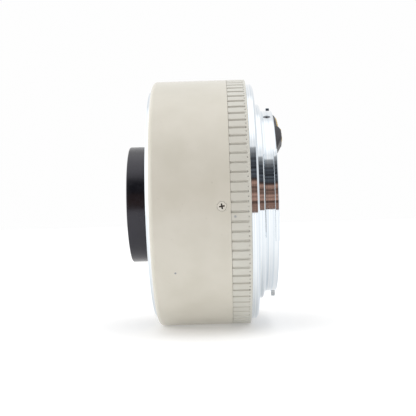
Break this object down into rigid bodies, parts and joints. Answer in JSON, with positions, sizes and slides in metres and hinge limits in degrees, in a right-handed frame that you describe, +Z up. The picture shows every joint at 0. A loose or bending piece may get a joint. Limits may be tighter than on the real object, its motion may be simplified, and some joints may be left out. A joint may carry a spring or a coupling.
{
  "type": "camera teleconverter",
  "caption": "Short lens converter: female bayonet and black lens tube in front, off-white barrel with ribbed grip ring, male bayonet with contacts behind, sprung lens lock.",
  "frame": {"origin": "centre of the rear seating face, on the optical axis", "axes": "+X along the optical axis towards the camera, +Z up as it lies on its side, -Y the side the viewer sees"},
  "size_m": [0.0412, 0.0678, 0.0676],
  "materials": {
    "paint": "satin off-white enamel",
    "chrome": "polished chrome plate on brass",
    "steel": "plain steel",
    "black_anodised": "satin black anodised aluminium",
    "black_plastic": "moulded black plastic",
    "black_screw": "blackened steel",
    "cast_alloy": "machined aluminium casting",
    "gold": "gold plate",
    "shim_brass": "rolled brass sheet",
    "coated_glass": "coated optical glass",
    "board": "green solder mask",
    "flex": "amber film",
    "red_mark": "red paint"
  },
  "bodies": {
    "housing": {"barrel_shell": "paint", "grip_ring": "paint", "chassis": "cast_alloy", "front_mount_ring": "chrome", "bayonet_spring": "steel", "stop_pin": "steel", "front_mount_screws": "steel", "front_index_dot": "red_mark", "front_contact_block": "black_plastic", "front_contact_springs": "steel", "lens_tube": "black_anodised", "front_lens": "coated_glass", "doublet_crown": "coated_glass", "doublet_flint": "coated_glass", "middle_lens": "coated_glass", "rear_lens": "coated_glass", "front_spacer": "black_anodised", "middle_spacer": "black_anodised", "rear_spacer": "black_anodised", "front_retainer": "black_anodised", "tube_screws": "steel", "circuit_board": "board", "control_chip": "black_plastic", "board_screws": "steel", "flex_strip": "flex", "rear_mount": "chrome", "rear_mount_screws": "steel", "mount_shim": "shim_brass", "rear_baffle": "black_plastic", "rear_contact_block": "black_plastic", "rear_contacts": "gold", "contact_block_screw": "black_screw", "shell_screws": "steel", "rear_index_dot": "red_mark", "lock_spring": "steel"},
    "lens_lock": {"lock_pin": "steel", "lock_carriage": "cast_alloy", "release_slider": "black_plastic", "slider_screw": "steel"},
    "contact_pins": {"front_contact_pins": "gold"}
  },
  "joints": [
    {"name": "lock_release", "type": "slide", "parent": "housing", "child": "lens_lock", "axis": [1, 0, 0], "range_m": [0, 0.002], "stiffness_N_per_m": 400, "springref_m": -0.003, "deforming": ["lock_spring"]},
    {"name": "contact_press", "type": "slide", "parent": "housing", "child": "contact_pins", "axis": [1, 0, 0], "range_m": [0, 0.0006], "stiffness_N_per_m": 500, "springref_m": -0.0008, "deforming": ["front_contact_springs"]}
  ]
}
